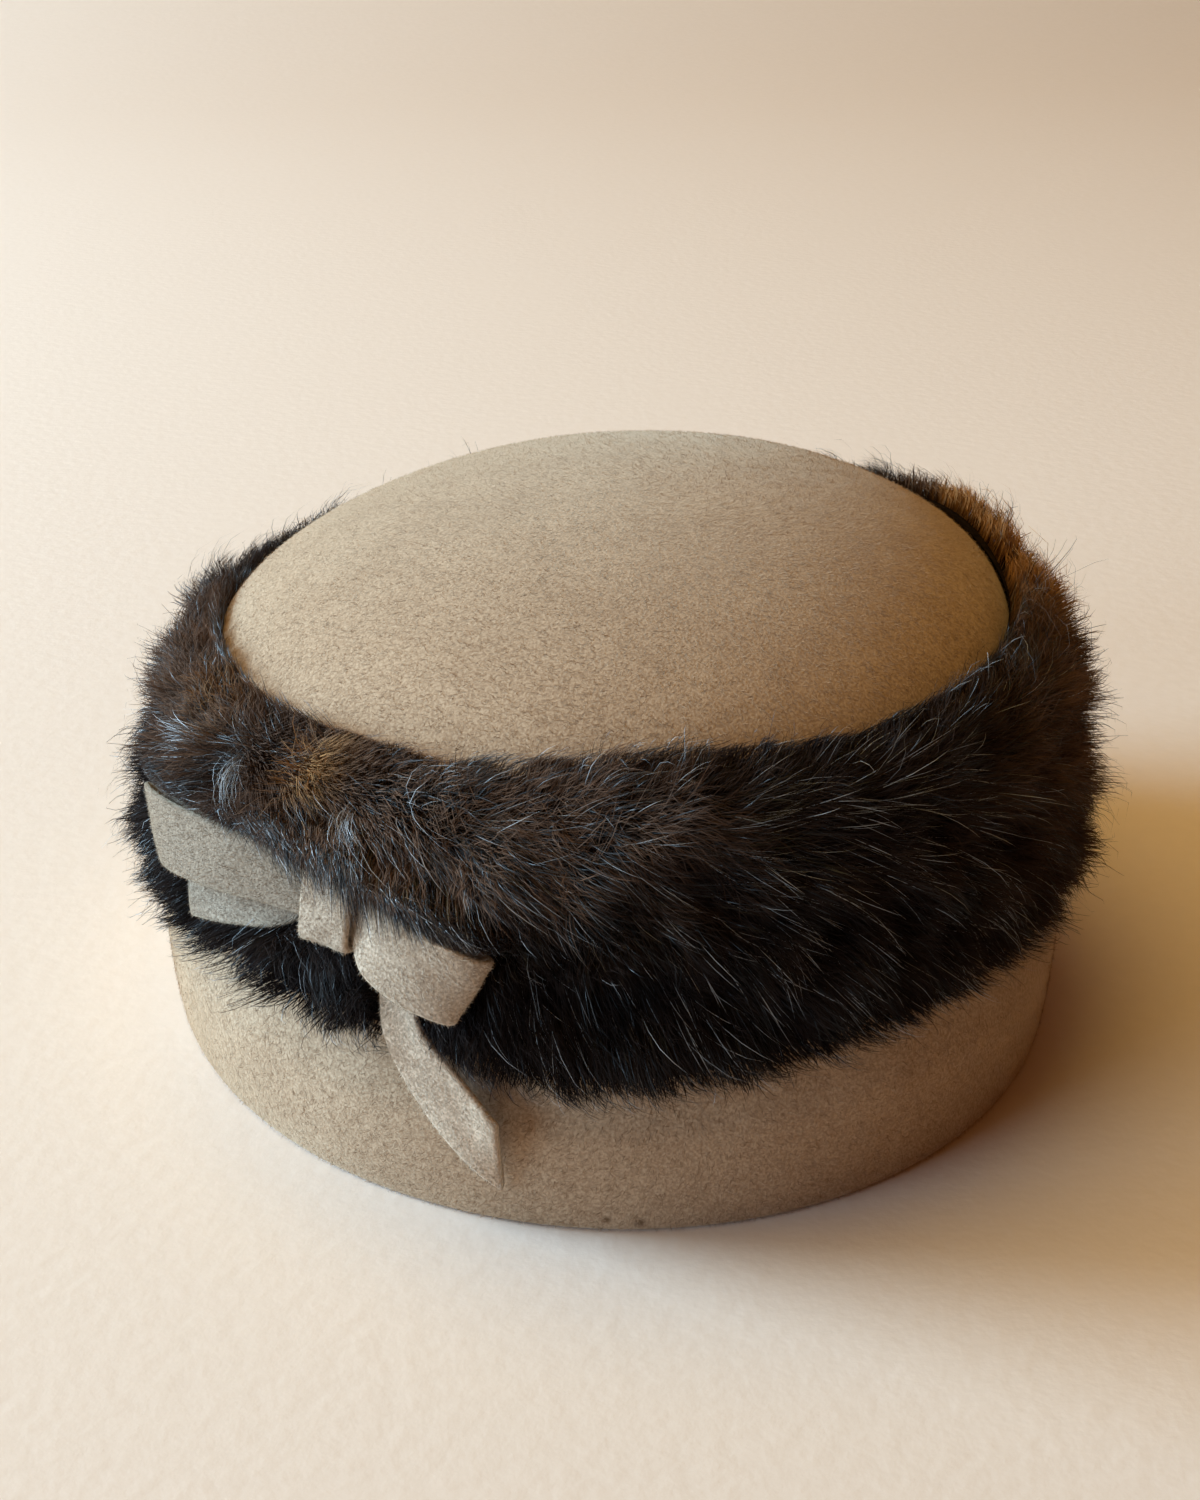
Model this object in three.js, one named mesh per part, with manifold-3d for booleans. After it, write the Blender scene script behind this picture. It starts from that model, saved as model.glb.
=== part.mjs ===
// A felt pillbox hat with a deep fur band round its side and a flat felt bow on the band.
// Millimetres, +Z up. The origin is the middle of the rim, on the surface that the hat stands on.
// +Y runs along the oval's long axis, away from the side that carries the bow.
import * as THREE from "three";
import { mergeVertices } from "three/addons/utils/BufferGeometryUtils.js";
import Module from "manifold-3d";

const wasm = await Module();
wasm.setup();

// Driving dimensions of the felt body: the oval plan, the wall and the domed crown.
const DEPTH_RATIO = 1.12; // the plan is this much longer along Y than along X
const WIDEST = { reach: 90, height: 20 }; // half-width along X where the wall is widest
const WALL_TOP = { reach: 76.7, height: 73.7 }; // where the wall turns into the dome
const CROWN_HEIGHT = 98.2;
const DOME_FULLNESS = 1.09; // height of the dome's ellipse over the dome's rise, to meet the wall's slope
const RIM_REACH = 88.6;
const RIM_ROUND = 1; // radius of the rim's outer edge
const FELT = 2.6;
const CROWN_SHIFT = { x: 5.7, y: 2.3 }; // how far the top of the dome sits off the axis
const LEAN = 0.06; // rise of the crown per millimetre of X at full height
const PLAN_SIDES = 48;
const DOME_STEPS = 9;
const WALL_STEPS = 3;
const RIM_STEPS = 3;

// Driving dimensions of the fur band and its locks.
const FUR_GAP = 0.5;
const FUR_SIDES = 48;
const SEAM_AZIMUTH = -137; // where the two ends of the band meet, above the bow
const NAP_TURN = { from: 170, to: 320, change: 1.7 }; // degrees past the seam where the nap swings back
const LOCKS_PER_ROW = 26;
const LOCK = { width: 11, depth: 4.5, root: 0.5, tip: 1.5 }; // half sizes, and the girth along the lock

// Driving dimensions of the bow's felt strip.
const STRIP = 1.5; // thickness
const STRIP_STEPS = 22;
const STRIP_PROBE = 0.004; // share of the strip's length that its direction is taken over
const KNOT_AZIMUTH = -130.2;
const TAIL_TWIST = 25; // degrees that the long tail turns about its own length, by its end

const FINISHES = {
  felt: { color: 0xa8937a, roughness: 0.95, metalness: 0 },
  fur: { color: 0x2a1d18, roughness: 0.7, metalness: 0 },
};

const radians = THREE.MathUtils.degToRad;
const mix = THREE.MathUtils.lerp;
const wallSlope = (WIDEST.reach - WALL_TOP.reach) / (WALL_TOP.height - WIDEST.height);

// Half-width along X of the wall's outer face: a bulge below the widest height, a straight cone above it.
function wallReach(height) {
  if (height >= WIDEST.height) return WIDEST.reach - wallSlope * (height - WIDEST.height);
  const down = 1 - height / WIDEST.height;
  return WIDEST.reach - (WIDEST.reach - RIM_REACH) * down * down;
}

// Turns a point of a round, upright body into the hat's oval, leaning form.
function shaped(point) {
  const share = (point.z - WALL_TOP.height) / (CROWN_HEIGHT - WALL_TOP.height);
  const dome = THREE.MathUtils.clamp(share, 0, 1);
  const x = point.x + CROWN_SHIFT.x * dome;
  const y = point.y * DEPTH_RATIO + CROWN_SHIFT.y * dome;
  return new THREE.Vector3(x, y, point.z * (1 + (LEAN * x) / CROWN_HEIGHT));
}

// A point at an azimuth in degrees (0 is +X) and a height, standing off the wall's outer face.
function wallPoint(azimuth, height, standoff) {
  const reach = wallReach(height) + standoff;
  const angle = radians(azimuth);
  return shaped(new THREE.Vector3(reach * Math.cos(angle), reach * Math.sin(angle), height));
}

// Unit vectors along the wall, up the wall and out of it, evened out over a few degrees and millimetres.
function wallAxes(azimuth, height, standoff) {
  const step = 4;
  const side = (da, dh) => wallPoint(azimuth + da, height + dh, standoff);
  const along = side(step, 0).sub(side(-step, 0)).normalize();
  const out = along.clone().cross(side(0, step).sub(side(0, -step))).normalize();
  return { along, up: out.clone().cross(along), out };
}

// A closed ring or bowl turned about Z from a profile of (reach, height) points, then shaped as the hat.
function turned(profile, sides) {
  const geometry = new THREE.LatheGeometry(profile, sides).rotateX(Math.PI / 2);
  const position = geometry.getAttribute("position");
  const point = new THREE.Vector3();
  for (let i = 0; i < position.count; i++) {
    point.fromBufferAttribute(position, i);
    position.setXYZ(i, ...shaped(point).toArray());
  }
  return geometry;
}

// A closed body through sections that all have the same number of corners.
function lofted(sections) {
  const corners = sections[0].length;
  const last = sections.length - 1;
  const index = [];
  for (let s = 0; s < last; s++) {
    for (let c = 0; c < corners; c++) {
      const a = s * corners + c;
      const b = s * corners + ((c + 1) % corners);
      index.push(a, b, a + corners, b, b + corners, a + corners);
    }
  }
  for (let c = 1; c < corners - 1; c++) {
    index.push(0, c + 1, c, last * corners, last * corners + c, last * corners + c + 1);
  }
  const geometry = new THREE.BufferGeometry().setFromPoints(sections.flat());
  return geometry.setIndex(index);
}

function solidOf(geometry) {
  const bare = geometry.clone();
  for (const name of ["normal", "uv"]) bare.deleteAttribute(name);
  const merged = mergeVertices(bare, 1e-3);
  const vertProperties = merged.getAttribute("position").array;
  const triVerts = new Uint32Array(merged.getIndex().array);
  return new wasm.Manifold(new wasm.Mesh({ numProp: 3, vertProperties, triVerts }));
}

function geometryOf(solid) {
  const mesh = solid.getMesh();
  const geometry = new THREE.BufferGeometry();
  geometry.setAttribute("position", new THREE.BufferAttribute(mesh.vertProperties, 3));
  return geometry.setIndex(new THREE.BufferAttribute(mesh.triVerts, 1));
}

// The felt body

// The outer face from the top of the dome down to the rim.
function feltOutline() {
  const points = [];
  const domeRise = (CROWN_HEIGHT - WALL_TOP.height) * DOME_FULLNESS;
  const centre = CROWN_HEIGHT - domeRise;
  const end = Math.asin((WALL_TOP.height - centre) / domeRise);
  const domeReach = WALL_TOP.reach / Math.cos(end);
  for (let i = 0; i <= DOME_STEPS; i++) {
    const angle = mix(Math.PI / 2, end, i / DOME_STEPS);
    points.push(new THREE.Vector2(domeReach * Math.cos(angle), centre + domeRise * Math.sin(angle)));
  }
  points[0].x = 0;
  for (let i = 1; i <= WALL_STEPS; i++) {
    const height = mix(WALL_TOP.height, WIDEST.height, i / WALL_STEPS);
    points.push(new THREE.Vector2(wallReach(height), height));
  }
  for (let i = 1; i <= RIM_STEPS; i++) {
    const height = mix(WIDEST.height, RIM_ROUND, i / RIM_STEPS);
    points.push(new THREE.Vector2(wallReach(height), height));
  }
  return points;
}

// The outline moved inwards by the felt's thickness, square to itself.
function feltLining(outline) {
  return outline.map((point, i) => {
    if (i === 0) return new THREE.Vector2(0, point.y - FELT);
    const before = outline[i - 1];
    const after = outline[Math.min(i + 1, outline.length - 1)];
    const along = after.clone().sub(before).normalize();
    return new THREE.Vector2(point.x - FELT * -along.y, point.y - FELT * along.x);
  });
}

function feltBody() {
  const outline = feltOutline();
  const lining = feltLining(outline);
  const edge = outline[outline.length - 1].x;
  const inside = lining.pop().x;
  const rim = [
    new THREE.Vector2(edge - RIM_ROUND * (1 - Math.SQRT1_2), RIM_ROUND * (1 - Math.SQRT1_2)),
    new THREE.Vector2(edge - RIM_ROUND, 0),
    new THREE.Vector2(inside, 0),
  ];
  const profile = [...outline, ...rim, ...lining.reverse()];
  return turned(profile.reverse(), PLAN_SIDES);
}

// The fur band

// The pelt's section: heights up the wall, and how far the face stands off it.
const PELT_SECTION = [
  { height: 36, standoff: FUR_GAP },
  { height: 35.5, standoff: 3 },
  { height: 40, standoff: 6.5 },
  { height: 52, standoff: 8.8 },
  { height: 68, standoff: 9.2 },
  { height: 77, standoff: 7.5 },
  { height: 81.5, standoff: 4 },
  { height: 81, standoff: 1 },
  { height: 75, standoff: FUR_GAP },
];

// Rows of locks: where they are rooted, their length and lift, and how they slope as they run round the hat.
const LOCK_ROWS = [
  { height: 43, standoff: 5.5, length: 18, lift: 0, slope: -46, stagger: 0.3 },
  { height: 52, standoff: 7.5, length: 21, lift: 1, slope: -40, stagger: 0.8 },
  { height: 62, standoff: 8, length: 22, lift: 1, slope: -34, stagger: 0.5 },
  { height: 71, standoff: 8, length: 21, lift: 1, slope: -20, stagger: 0.1 },
  { height: 76, standoff: 6, length: 15, lift: 1.5, slope: 22, stagger: 0.6 },
];

// How far the nap runs round the hat: forwards from the seam, and backwards just behind it.
function napAt(turn) {
  return 1 - NAP_TURN.change * THREE.MathUtils.smoothstep(turn, NAP_TURN.from, NAP_TURN.to);
}

// One tapered lock, from a root sunk in the pelt to a pointed tip that lies along the nap.
function lock(turn, row) {
  const azimuth = SEAM_AZIMUTH + turn;
  const root = wallPoint(azimuth, row.height, row.standoff);
  const { along, up, out } = wallAxes(azimuth, row.height, row.standoff);
  const slope = radians(row.slope);
  const lay = along.clone().multiplyScalar(napAt(turn) * Math.cos(slope));
  lay.addScaledVector(up, Math.sin(slope)).normalize();
  const across = lay.clone().cross(out);
  const geometry = new THREE.ConeGeometry(1, 1, 4, 2);
  const position = geometry.getAttribute("position");
  for (let i = 0; i < position.count; i++) {
    const share = position.getY(i) + 0.5;
    const girth = mix(LOCK.root, LOCK.tip, share);
    const point = root.clone().addScaledVector(lay, share * row.length);
    point.addScaledVector(across, position.getX(i) * girth * LOCK.width);
    point.addScaledVector(out, position.getZ(i) * girth * LOCK.depth + row.lift * share);
    position.setXYZ(i, ...point.toArray());
  }
  return geometry;
}

function furBand(bed) {
  const onWall = (row) => new THREE.Vector2(wallReach(row.height) + row.standoff, row.height);
  const section = PELT_SECTION.map(onWall);
  let band = solidOf(turned([...section, section[0]], FUR_SIDES));
  for (const row of LOCK_ROWS) {
    for (let i = 0; i < LOCKS_PER_ROW; i++) {
      const turn = ((i + row.stagger) / LOCKS_PER_ROW) * 360;
      band = band.add(solidOf(lock(turn, row)));
    }
  }
  const pieces = band.subtract(bed).decompose();
  pieces.sort((a, b) => b.volume() - a.volume());
  return geometryOf(pieces[0]);
}

// The bow

// Tables of a strip's middle line. Slope is the strip's direction in degrees above the horizontal,
// and skew is how far its upper edge runs ahead of its lower edge.
const LOOP_LEFT = [
  { azimuth: -131.0, height: 59.0, standoff: 10.2, width: 7.6, slope: 4, skew: 0 },
  { azimuth: -134.4, height: 59.6, standoff: 11.0, width: 8.6, slope: 5, skew: 0 },
  { azimuth: -139.5, height: 60.2, standoff: 11.8, width: 10.4, slope: 5, skew: 0 },
  { azimuth: -148.0, height: 58.8, standoff: 12.6, width: 11.6, slope: 8, skew: -4 },
  { azimuth: -157.8, height: 56.0, standoff: 13.0, width: 11.8, slope: 10, skew: -12 },
  { azimuth: -161.6, height: 54.3, standoff: 11.8, width: 11.8, slope: 10, skew: -15 },
  { azimuth: -157.8, height: 54.9, standoff: 10.4, width: 11.8, slope: 10, skew: -12 },
  { azimuth: -148.0, height: 57.5, standoff: 9.8, width: 11.6, slope: 8, skew: -4 },
  { azimuth: -139.5, height: 59.2, standoff: 9.2, width: 10.2, slope: 5, skew: 0 },
  { azimuth: -134.4, height: 59.2, standoff: 8.6, width: 8.4, slope: 5, skew: 0 },
  { azimuth: -131.0, height: 59.0, standoff: 8.2, width: 7.6, slope: 4, skew: 0 },
];
const LOOP_RIGHT = [
  { azimuth: -129.6, height: 58.8, standoff: 10.2, width: 7.4, slope: -8, skew: 0 },
  { azimuth: -127.0, height: 57.8, standoff: 10.5, width: 7.4, slope: -10, skew: 0 },
  { azimuth: -124.0, height: 55.4, standoff: 12.4, width: 11.6, slope: -16, skew: 1 },
  { azimuth: -119.2, height: 52.9, standoff: 13.4, width: 13.2, slope: -20, skew: 2 },
  { azimuth: -115.4, height: 50.6, standoff: 12.6, width: 12.8, slope: -20, skew: 2 },
  { azimuth: -114.0, height: 49.6, standoff: 10.8, width: 12.8, slope: -20, skew: 2 },
  { azimuth: -116.0, height: 50.2, standoff: 9.0, width: 12.6, slope: -20, skew: 2 },
  { azimuth: -123.4, height: 54.9, standoff: 8.6, width: 10.2, slope: -16, skew: 1 },
  { azimuth: -127.0, height: 57.6, standoff: 8.4, width: 7.4, slope: -10, skew: 0 },
  { azimuth: -129.6, height: 58.8, standoff: 8.2, width: 7.4, slope: -8, skew: 0 },
];
const TAIL_SHORT = [
  { azimuth: -131.0, height: 59.2, standoff: 6.2, width: 7.2, slope: 12, skew: 0 },
  { azimuth: -134.6, height: 57.8, standoff: 6.2, width: 8.0, slope: 14, skew: 0 },
  { azimuth: -139.5, height: 53.9, standoff: 6.4, width: 11.2, slope: 15, skew: 0 },
  { azimuth: -147.0, height: 50.0, standoff: 6.6, width: 12.0, slope: 15, skew: -1 },
  { azimuth: -156.3, height: 45.1, standoff: 6.6, width: 12.0, slope: 15, skew: -3.5 },
];
const TAIL_LONG = [
  { azimuth: -129.8, height: 59.6, standoff: 6.2, width: 7.2, slope: -6, skew: 0 },
  { azimuth: -126.4, height: 58.6, standoff: 6.2, width: 7.2, slope: -20, skew: 0 },
  { azimuth: -123.6, height: 53.5, standoff: 6.3, width: 8.0, slope: -60, skew: 0 },
  { azimuth: -123.0, height: 46.0, standoff: 6.4, width: 8.0, slope: -70, skew: 0 },
  { azimuth: -122.0, height: 38.0, standoff: 6.3, width: 8.4, slope: -58, skew: 0 },
  { azimuth: -117.6, height: 28.2, standoff: 5.2, width: 11.4, slope: -47, skew: -1 },
  { azimuth: -111.5, height: 17.6, standoff: 3.6, width: 12.5, slope: -46, skew: -11.6 },
];
const KNOT = [
  { azimuth: KNOT_AZIMUTH, height: 64.8, standoff: 5.4, width: 10.4, slope: -90, skew: 0 },
  { azimuth: KNOT_AZIMUTH, height: 65.8, standoff: 9.4, width: 10.4, slope: -90, skew: 0 },
  { azimuth: KNOT_AZIMUTH, height: 64.6, standoff: 12.0, width: 10.4, slope: -90, skew: 0 },
  { azimuth: KNOT_AZIMUTH, height: 59.2, standoff: 12.7, width: 10.4, slope: -90, skew: 0 },
  { azimuth: KNOT_AZIMUTH, height: 53.6, standoff: 12.2, width: 10.4, slope: -90, skew: 0 },
  { azimuth: KNOT_AZIMUTH, height: 52.2, standoff: 9.4, width: 10.4, slope: -90, skew: 0 },
  { azimuth: KNOT_AZIMUTH, height: 53.0, standoff: 5.4, width: 10.4, slope: -90, skew: 0 },
];
// The hollow that the bow presses into the fur, as thick strips along the loops and along the long tail.
const BED_LOOPS = [
  { azimuth: -170, height: 51.0, standoff: 13, width: 22, slope: 10, skew: -8 },
  { azimuth: -150, height: 53.6, standoff: 13, width: 24, slope: 9, skew: 0 },
  { azimuth: -131, height: 60.0, standoff: 13, width: 21, slope: 0, skew: 0 },
  { azimuth: -119, height: 53.2, standoff: 13, width: 18, slope: -20, skew: 3 },
  { azimuth: -109, height: 48.3, standoff: 13, width: 17, slope: -20, skew: 3 },
];
const BED_TAIL = [
  { azimuth: -128.0, height: 57.0, standoff: 13, width: 18, slope: -62, skew: 0 },
  { azimuth: -122.2, height: 39.0, standoff: 12.5, width: 17, slope: -60, skew: 0 },
  { azimuth: -112.5, height: 20.0, standoff: 9.5, width: 20, slope: -47, skew: 0 },
];
const BED_DEPTH = 17;

// A flat strip that follows a table's middle line, with a smooth curve through its rows, and twists as it goes.
function strip(rows, thickness, twist = 0) {
  const through = (columns) => new THREE.CatmullRomCurve3(rows.map((r) => new THREE.Vector3(...columns(r))));
  const place = through((r) => [r.azimuth, r.height, r.standoff]);
  const form = through((r) => [r.width, r.slope, r.skew]);
  const middle = (t) => wallPoint(...place.getPoint(THREE.MathUtils.clamp(t, 0, 1)).toArray());
  const sections = [];
  for (let i = 0; i <= STRIP_STEPS; i++) {
    const t = i / STRIP_STEPS;
    const [width, slope, skew] = form.getPoint(t).toArray();
    const { along, up } = wallAxes(...place.getPoint(t).toArray());
    const angle = radians(slope);
    const ahead = along.clone().multiplyScalar(Math.cos(angle)).addScaledVector(up, Math.sin(angle));
    const across = up.clone().multiplyScalar(Math.cos(angle)).addScaledVector(along, -Math.sin(angle));
    const travel = middle(t + STRIP_PROBE).sub(middle(t - STRIP_PROBE)).normalize();
    const face = travel.clone().cross(across).normalize();
    const roll = radians(twist) * t * t;
    const span = across.clone().multiplyScalar(Math.cos(roll)).addScaledVector(face, Math.sin(roll));
    const front = face.clone().multiplyScalar(Math.cos(roll)).addScaledVector(across, -Math.sin(roll));
    const corner = (w, f) => middle(t)
      .addScaledVector(span, (w * width) / 2)
      .addScaledVector(ahead, (w * skew) / 2)
      .addScaledVector(front, (f * thickness) / 2);
    sections.push([corner(-1, -1), corner(1, -1), corner(1, 1), corner(-1, 1)]);
  }
  return lofted(sections);
}

// The assembly

function piece(name, geometry, finish) {
  const mesh = new THREE.Mesh(geometry, new THREE.MeshStandardMaterial(finish));
  mesh.name = name;
  return mesh;
}

function feltBow() {
  const bow = new THREE.Group();
  const strips = {
    bow_loop_left: LOOP_LEFT,
    bow_loop_right: LOOP_RIGHT,
    bow_tail_short: TAIL_SHORT,
    bow_tail_long: TAIL_LONG,
    bow_knot: KNOT,
  };
  for (const [name, rows] of Object.entries(strips)) {
    const twist = rows === TAIL_LONG ? TAIL_TWIST : 0;
    bow.add(piece(name, strip(rows, STRIP, twist), FINISHES.felt));
  }
  return bow;
}

const bed = solidOf(strip(BED_LOOPS, BED_DEPTH)).add(solidOf(strip(BED_TAIL, BED_DEPTH)));
const hat = new THREE.Group();
hat.add(piece("felt_body", feltBody(), FINISHES.felt));
hat.add(piece("fur_band", furBand(bed), FINISHES.fur));
hat.add(feltBow());

export default hat;
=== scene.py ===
"""A felt pillbox hat with a deep fur band and a flat felt bow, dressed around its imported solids.

Sizes in the tables are millimetres, in the hat's own frame: the origin is the middle of the rim on the
floor, +Z is up and +Y runs away from the bow. Azimuths are degrees from +X. Meshes are made in metres.
"""

import math
from typing import NamedTuple

import bpy
import numpy as np
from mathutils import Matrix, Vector


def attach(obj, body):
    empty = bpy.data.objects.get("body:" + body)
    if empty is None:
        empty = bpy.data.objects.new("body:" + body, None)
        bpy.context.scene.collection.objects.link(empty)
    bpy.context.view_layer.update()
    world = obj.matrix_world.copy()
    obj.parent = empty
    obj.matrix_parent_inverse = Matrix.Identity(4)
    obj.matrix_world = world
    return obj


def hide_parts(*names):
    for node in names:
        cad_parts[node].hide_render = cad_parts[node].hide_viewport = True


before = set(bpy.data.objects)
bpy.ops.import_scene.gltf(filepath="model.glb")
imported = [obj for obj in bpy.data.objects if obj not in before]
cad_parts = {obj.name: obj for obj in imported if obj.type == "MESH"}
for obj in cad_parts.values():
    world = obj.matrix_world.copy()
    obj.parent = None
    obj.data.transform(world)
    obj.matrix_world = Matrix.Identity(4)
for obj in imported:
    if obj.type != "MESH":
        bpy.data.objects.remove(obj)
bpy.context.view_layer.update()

MM = 0.001
BODY = "root"

# The felt body: the oval plan, the wall and the domed crown.
DEPTH_RATIO = 1.12
WIDEST_REACH, WIDEST_HEIGHT = 90.0, 20.0
WALL_TOP_REACH, WALL_TOP_HEIGHT = 76.7, 73.7
CROWN_HEIGHT = 98.2
DOME_FULLNESS = 1.09
RIM_REACH = 88.6
RIM_ROUND = 1.3
FELT = 2.6
CROWN_SHIFT = (5.7, 2.3)
LEAN = 0.06
WALL_SLOPE = (WIDEST_REACH - WALL_TOP_REACH) / (WALL_TOP_HEIGHT - WIDEST_HEIGHT)
FELT_SIDES = 160

# The fur band: its mean half-width along X, the seam where its ends meet, and how its nap turns round
# between two places that are given in degrees from the seam.
BAND_REACH = 88
SEAM_AZIMUTH = -137.0
NAP_TURN_FROM, NAP_TURN_TO, NAP_TURN_CHANGE = 170.0, 320.0, 1.7

# The bow: the thickness of its felt, the width it is cut to, and the azimuths that it lies between.
STRIP = 1.5
STRIP_STEPS = 72
TAIL_TWIST = 25
BOW_FROM, BOW_TO = -176, -104


# Shape of the hat

def wall_reach(height):
    """Half-width along X of the wall's outer face at each height."""
    down = np.clip(1 - height / WIDEST_HEIGHT, 0, None)
    bulge = (WIDEST_REACH - RIM_REACH) * down ** 2
    return WIDEST_REACH - WALL_SLOPE * np.clip(height - WIDEST_HEIGHT, 0, None) - bulge


def shaped(x, y, height):
    """Points of a round, upright body in the hat's oval, leaning form."""
    dome = np.clip((height - WALL_TOP_HEIGHT) / (CROWN_HEIGHT - WALL_TOP_HEIGHT), 0, 1)
    px = x + CROWN_SHIFT[0] * dome
    py = y * DEPTH_RATIO + CROWN_SHIFT[1] * dome
    return np.stack([px, py, height * (1 + LEAN * px / CROWN_HEIGHT)], axis=-1)


def wall_point(azimuth, height, standoff):
    reach = wall_reach(height) + standoff
    angle = np.radians(azimuth)
    return shaped(reach * np.cos(angle), reach * np.sin(angle), height)


def unit(vectors):
    return vectors / np.maximum(np.linalg.norm(vectors, axis=-1, keepdims=True), 1e-9)


def wall_axes(azimuth, height, standoff):
    """Unit vectors along the wall, up it and out of it, evened out over a few degrees and millimetres."""
    step = 4.0
    round_hat = wall_point(azimuth + step, height, standoff) - wall_point(azimuth - step, height, standoff)
    along = unit(round_hat)
    rise = wall_point(azimuth, height + step, standoff) - wall_point(azimuth, height - step, standoff)
    out = unit(np.cross(along, rise))
    return along, np.cross(out, along), out


def smooth_rows(rows, samples):
    """A smooth curve through the rows of a table, as a list of samples + 1 points."""
    rows = np.asarray(rows, float)
    padded = np.vstack([2 * rows[0] - rows[1], rows, 2 * rows[-1] - rows[-2]])
    t = np.linspace(0, len(rows) - 1, samples + 1)
    i = np.minimum(t.astype(int), len(rows) - 2)
    f = (t - i)[:, None]
    a, b, c, d = (padded[i + k] for k in range(4))
    square = 2 * a - 5 * b + 4 * c - d
    cube = 3 * b - a - 3 * c + d
    return 0.5 * (2 * b + (c - a) * f + square * f ** 2 + cube * f ** 3)


def ease(value, low, high):
    """Smoothly from 0 below the low value to 1 above the high one."""
    t = np.clip((value - low) / (high - low), 0, 1)
    return t * t * (3 - 2 * t)


def bump(value, middle, width):
    """1 in the middle, falling smoothly to 0 on both sides."""
    return np.exp(-((value - middle) / width) ** 2)


def wrapped(degrees):
    """The same angle, from -180 to 180."""
    return (degrees + 180) % 360 - 180


# Meshes from arrays

def mesh_piece(name, points_mm, triangles, material, smooth=True, values=None):
    """A mesh object from points in millimetres and triangles, with any named values at its points."""
    mesh = bpy.data.meshes.new(name)
    mesh.vertices.add(len(points_mm))
    mesh.vertices.foreach_set("co", np.ascontiguousarray(points_mm * MM, np.float32).ravel())
    mesh.loops.add(len(triangles) * 3)
    mesh.loops.foreach_set("vertex_index", np.ascontiguousarray(triangles, np.int32).ravel())
    mesh.polygons.add(len(triangles))
    mesh.polygons.foreach_set("loop_start", np.arange(0, len(triangles) * 3, 3, dtype=np.int32))
    mesh.polygons.foreach_set("use_smooth", np.full(len(triangles), smooth))
    for key, value in (values or {}).items():
        layer = mesh.attributes.new(key, "FLOAT", "POINT")
        layer.data.foreach_set("value", np.asarray(value, np.float32))
    mesh.update(calc_edges=True)
    mesh.validate()
    piece = bpy.data.objects.new(name, mesh)
    bpy.context.scene.collection.objects.link(piece)
    mesh.materials.append(material)
    return piece


def grid_triangles(rows, columns, close_rows, close_columns):
    """Two triangles for each cell of a grid of points that is stored row by row."""
    r = np.arange(rows if close_rows else rows - 1)
    c = np.arange(columns if close_columns else columns - 1)
    r, c = (g.ravel() for g in np.meshgrid(r, c, indexing="ij"))
    r2, c2 = (r + 1) % rows, (c + 1) % columns
    a, b, d, e = r * columns + c, r * columns + c2, r2 * columns + c, r2 * columns + c2
    return np.concatenate([np.stack([a, b, e], 1), np.stack([a, e, d], 1)])


def on_hat(piece, slot, *nodes):
    """Fixes a piece to the hat, in place of any solids that it stands for; the slot is not used."""
    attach(piece, BODY)
    if nodes:
        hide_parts(*nodes)
    return piece


# Materials

def new_material(name):
    material = bpy.data.materials.new(name)
    material.use_nodes = True
    nodes = material.node_tree.nodes
    return material, nodes, material.node_tree.links, nodes["Principled BSDF"]


def colour_ramp(nodes, stops):
    ramp = nodes.new("ShaderNodeValToRGB")
    elements = ramp.color_ramp.elements
    while len(elements) < len(stops):
        elements.new(0.5)
    for element, (place, colour) in zip(elements, stops):
        element.position = place
        element.color = (*colour, 1)
    return ramp


def noise(nodes, links, scale, detail):
    place = nodes.new("ShaderNodeTexCoord")
    texture = nodes.new("ShaderNodeTexNoise")
    texture.inputs["Scale"].default_value = scale
    texture.inputs["Detail"].default_value = detail
    links.new(place.outputs["Object"], texture.inputs["Vector"])
    return texture


def mixed(nodes, links, kind, share, a, b):
    mix = nodes.new("ShaderNodeMix")
    mix.data_type = "RGBA"
    mix.blend_type = kind
    mix.inputs["Factor"].default_value = share
    links.new(a, mix.inputs["A"])
    links.new(b, mix.inputs["B"])
    return mix.outputs["Result"]


def roughen(nodes, links, texture, shader, strength, distance):
    """Lets a texture stand in relief, by a distance in metres."""
    relief = nodes.new("ShaderNodeBump")
    relief.inputs["Strength"].default_value = strength
    relief.inputs["Distance"].default_value = distance
    links.new(texture.outputs["Fac"], relief.inputs["Height"])
    links.new(relief.outputs["Normal"], shader.inputs["Normal"])


def attribute(nodes, name):
    node = nodes.new("ShaderNodeAttribute")
    node.attribute_name = name
    return node.outputs["Fac"]


BODY_TONES = {
    "dark": (0.250, 0.150, 0.085),
    "middle": (0.410, 0.270, 0.170),
    "light": (0.560, 0.400, 0.270),
}
BOW_TONES = {
    "dark": (0.160, 0.112, 0.078),
    "middle": (0.310, 0.228, 0.163),
    "light": (0.520, 0.410, 0.312),
}

# Scales of the felt's noise: large clouds of tone on the body and on the bow, and the grain on both.
BODY_CLOUDS, BOW_CLOUDS = 60, 80
FELT_GRAIN = 1900

# Painted shade of small nicks in the felt along the front of the rim: azimuth, height and size.
PAINTED_NICK_SHADES = [
    (-100.6, 2.8, 1.0),
    (-97.0, 2.2, 1.3),
]


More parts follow.
